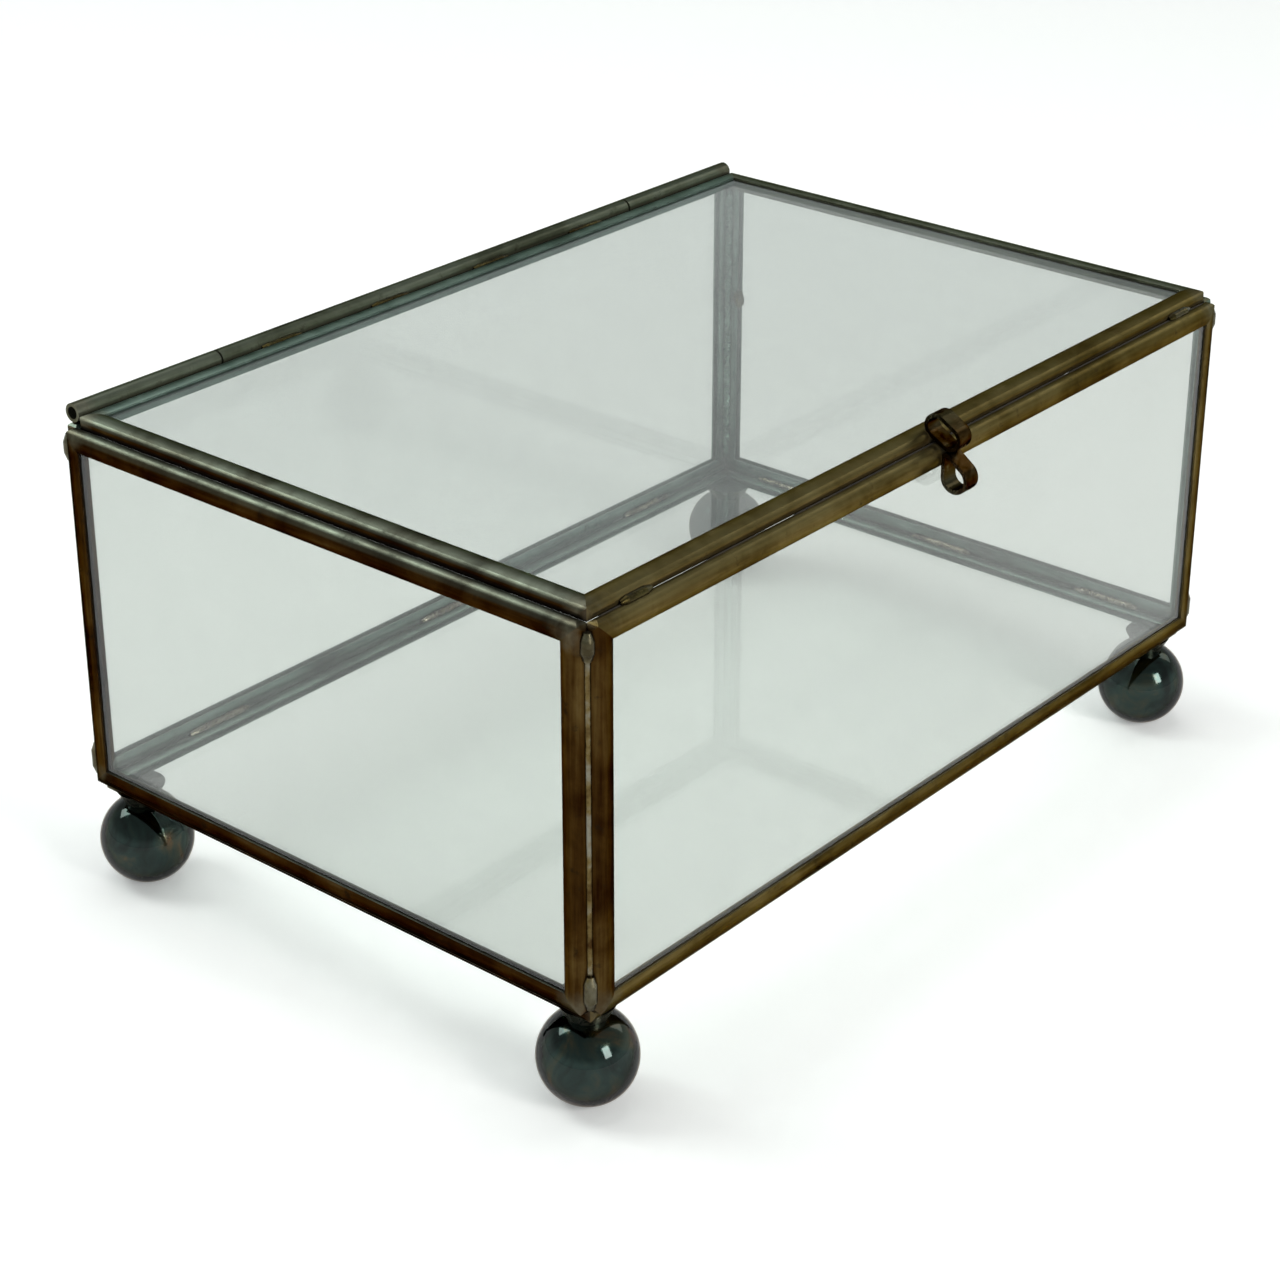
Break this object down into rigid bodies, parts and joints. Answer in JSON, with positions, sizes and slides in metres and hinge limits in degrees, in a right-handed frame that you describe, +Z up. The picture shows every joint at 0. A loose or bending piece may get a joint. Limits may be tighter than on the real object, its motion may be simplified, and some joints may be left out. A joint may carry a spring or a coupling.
{
  "type": "glass casket box",
  "caption": "Clear glass keepsake casket with panes in dark brass came, a hinged glass lid with a small strip clasp, and ball feet.",
  "frame": {"origin": "middle of the four feet, on the surface that the box stands on", "axes": "+X along the box, +Y to the hinge, -Y to the clasp, +Z up"},
  "size_m": [0.154, 0.1053, 0.0785],
  "materials": {
    "glass": "clear float glass, faintly green",
    "came": "antiqued brown patina over brass, worn brighter on edges",
    "solder": "dull tin solder, darkened",
    "ball_feet": "polished gunmetal patina",
    "clasp": "polished dark brown patina",
    "pin": "dull steel wire"
  },
  "bodies": {
    "casket": {"floor_glass": "glass", "front_glass": "glass", "back_glass": "glass", "left_glass": "glass", "right_glass": "glass", "floor_front_came": "came", "floor_right_came": "came", "floor_back_came": "came", "floor_left_came": "came", "front_bottom_came": "came", "front_right_stile": "came", "front_top_came": "came", "front_left_stile": "came", "back_bottom_came": "came", "back_right_stile": "came", "back_top_came": "came", "back_left_stile": "came", "left_bottom_came": "came", "left_back_stile": "came", "left_top_came": "came", "left_front_stile": "came", "right_bottom_came": "came", "right_back_stile": "came", "right_top_came": "came", "right_front_stile": "came", "corner_seams": "solder", "corner_solder": "solder", "floor_solder": "solder", "lid_rests": "solder", "foot_front_left": "ball_feet", "foot_front_right": "ball_feet", "foot_back_right": "ball_feet", "foot_back_left": "ball_feet", "foot_cups": "solder", "hinge_knuckle_left": "came", "hinge_knuckle_right": "came", "hinge_pin": "pin", "hinge_saddles": "solder", "catch_loop": "clasp"},
    "lid": {"lid_glass": "glass", "lid_front_came": "came", "lid_right_came": "came", "lid_back_came": "came", "lid_left_came": "came", "lid_knuckle": "came", "lid_hinge_solder": "solder", "lid_loop": "clasp"}
  },
  "joints": [
    {"name": "lid_hinge", "type": "hinge", "parent": "casket", "child": "lid", "pos_m": [0, 0.0486, 0.07548], "axis": [-1, 0, 0], "range_deg": [0, 225]}
  ]
}
